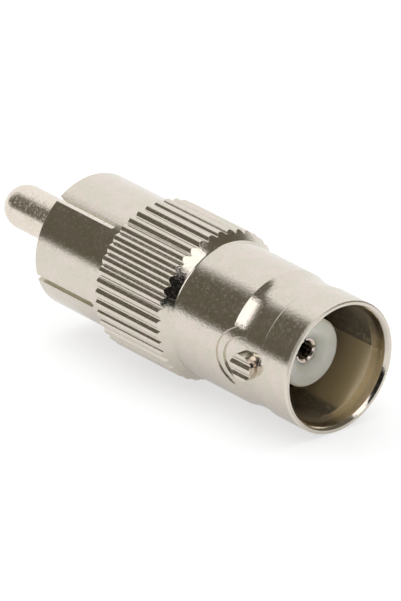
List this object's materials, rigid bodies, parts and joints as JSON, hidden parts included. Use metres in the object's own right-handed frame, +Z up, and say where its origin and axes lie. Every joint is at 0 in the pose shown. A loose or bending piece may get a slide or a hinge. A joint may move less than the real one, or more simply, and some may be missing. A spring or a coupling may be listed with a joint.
{
  "type": "bnc to rca adapter",
  "caption": "Coaxial adapter: bayonet jack with round lugs, knurled collar, and a phono plug with a slotted ground sleeve.",
  "frame": {"origin": "on the adapter's axis, in the plane of the jack's mouth", "axes": "+X along the axis, out of the jack's mouth; the two bayonet lugs point along +Y and -Y; +Z is up with the adapter lying on its side"},
  "size_m": [0.0341, 0.011, 0.011],
  "materials": {
    "nickel_body": "bright nickel plate over turned and knurled brass",
    "nickel_sleeve": "bright nickel plate over turned brass",
    "nickel_pin": "nickel plate with a slightly mottled shine",
    "contact_metal": "bright plated spring contact",
    "white_insulator": "smooth, slightly translucent milky white"
  },
  "bodies": {
    "root": {"jack_body": "nickel_body", "rca_sleeve": "nickel_sleeve", "jack_insulator": "white_insulator", "plug_insulator": "white_insulator", "socket_contact": "contact_metal", "centre_pin": "nickel_pin"}
  },
  "joints": []
}
